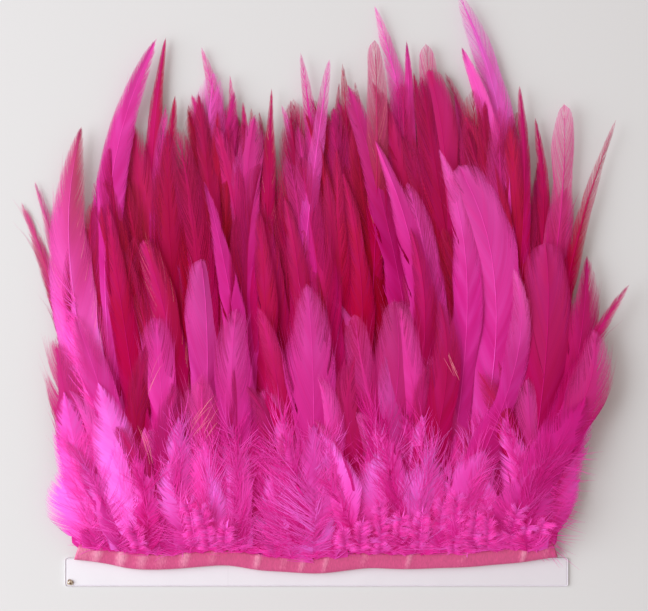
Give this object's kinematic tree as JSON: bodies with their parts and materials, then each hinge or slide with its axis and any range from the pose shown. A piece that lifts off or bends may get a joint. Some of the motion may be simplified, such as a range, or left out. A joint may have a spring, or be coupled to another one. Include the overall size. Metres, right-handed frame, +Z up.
{
  "type": "dyed rooster hackle fringe trim",
  "caption": "Fringe of dyed rooster hackle feathers sewn side by side by their quills into a narrow folded satin ribbon on a backing strip, lying flat.",
  "frame": {"origin": "middle of the backing strip's underside", "axes": "+X along the ribbon, +Y from the ribbon towards the feather tips, +Z up from the surface it lies on"},
  "size_m": [0.189, 0.1854, 0.0113],
  "materials": {
    "hackle_fuchsia": "soft dyed feather, fuchsia",
    "hackle_crimson": "soft dyed feather, crimson",
    "hackle_plum": "soft dyed feather, plum",
    "hackle_pink": "thin dyed feather, pink",
    "satin_ribbon": "rose pink satin, glossy along its folds",
    "backing_strip": "pale, slightly clear strip"
  },
  "bodies": {
    "root": {"backing_strip": "backing_strip", "satin_ribbon": "satin_ribbon", "hackle_back_01": "hackle_crimson", "hackle_back_02": "hackle_crimson", "hackle_back_03": "hackle_crimson", "hackle_back_04": "hackle_fuchsia", "hackle_back_05": "hackle_crimson", "hackle_back_06": "hackle_plum", "hackle_back_07": "hackle_crimson", "hackle_back_08": "hackle_pink", "hackle_back_09": "hackle_pink", "hackle_back_10": "hackle_plum", "hackle_back_11": "hackle_plum", "hackle_back_12": "hackle_crimson", "hackle_back_13": "hackle_crimson", "hackle_back_14": "hackle_pink", "hackle_back_15": "hackle_fuchsia", "hackle_back_16": "hackle_pink", "hackle_back_17": "hackle_crimson", "hackle_back_18": "hackle_crimson", "hackle_back_19": "hackle_crimson", "hackle_back_20": "hackle_crimson", "hackle_back_21": "hackle_pink", "hackle_back_22": "hackle_fuchsia", "hackle_back_23": "hackle_crimson", "hackle_back_24": "hackle_plum", "hackle_back_25": "hackle_fuchsia", "hackle_back_26": "hackle_pink", "hackle_back_27": "hackle_pink", "hackle_back_28": "hackle_crimson", "hackle_back_29": "hackle_plum", "hackle_back_30": "hackle_crimson", "hackle_back_31": "hackle_plum", "hackle_back_32": "hackle_crimson", "hackle_middle_01": "hackle_fuchsia", "hackle_middle_02": "hackle_crimson", "hackle_middle_03": "hackle_crimson", "hackle_middle_04": "hackle_fuchsia", "hackle_middle_05": "hackle_crimson", "hackle_middle_06": "hackle_plum", "hackle_middle_07": "hackle_crimson", "hackle_middle_08": "hackle_plum", "hackle_middle_09": "hackle_crimson", "hackle_middle_10": "hackle_crimson", "hackle_middle_11": "hackle_fuchsia", "hackle_middle_12": "hackle_pink", "hackle_middle_13": "hackle_fuchsia", "hackle_middle_14": "hackle_plum", "hackle_middle_15": "hackle_plum", "hackle_middle_16": "hackle_plum", "hackle_front_01": "hackle_fuchsia", "hackle_front_02": "hackle_fuchsia", "hackle_front_03": "hackle_pink", "hackle_front_04": "hackle_fuchsia", "hackle_front_05": "hackle_fuchsia", "hackle_front_06": "hackle_fuchsia", "hackle_front_07": "hackle_fuchsia", "hackle_front_08": "hackle_crimson", "hackle_front_09": "hackle_pink", "hackle_front_10": "hackle_fuchsia"}
  },
  "joints": []
}
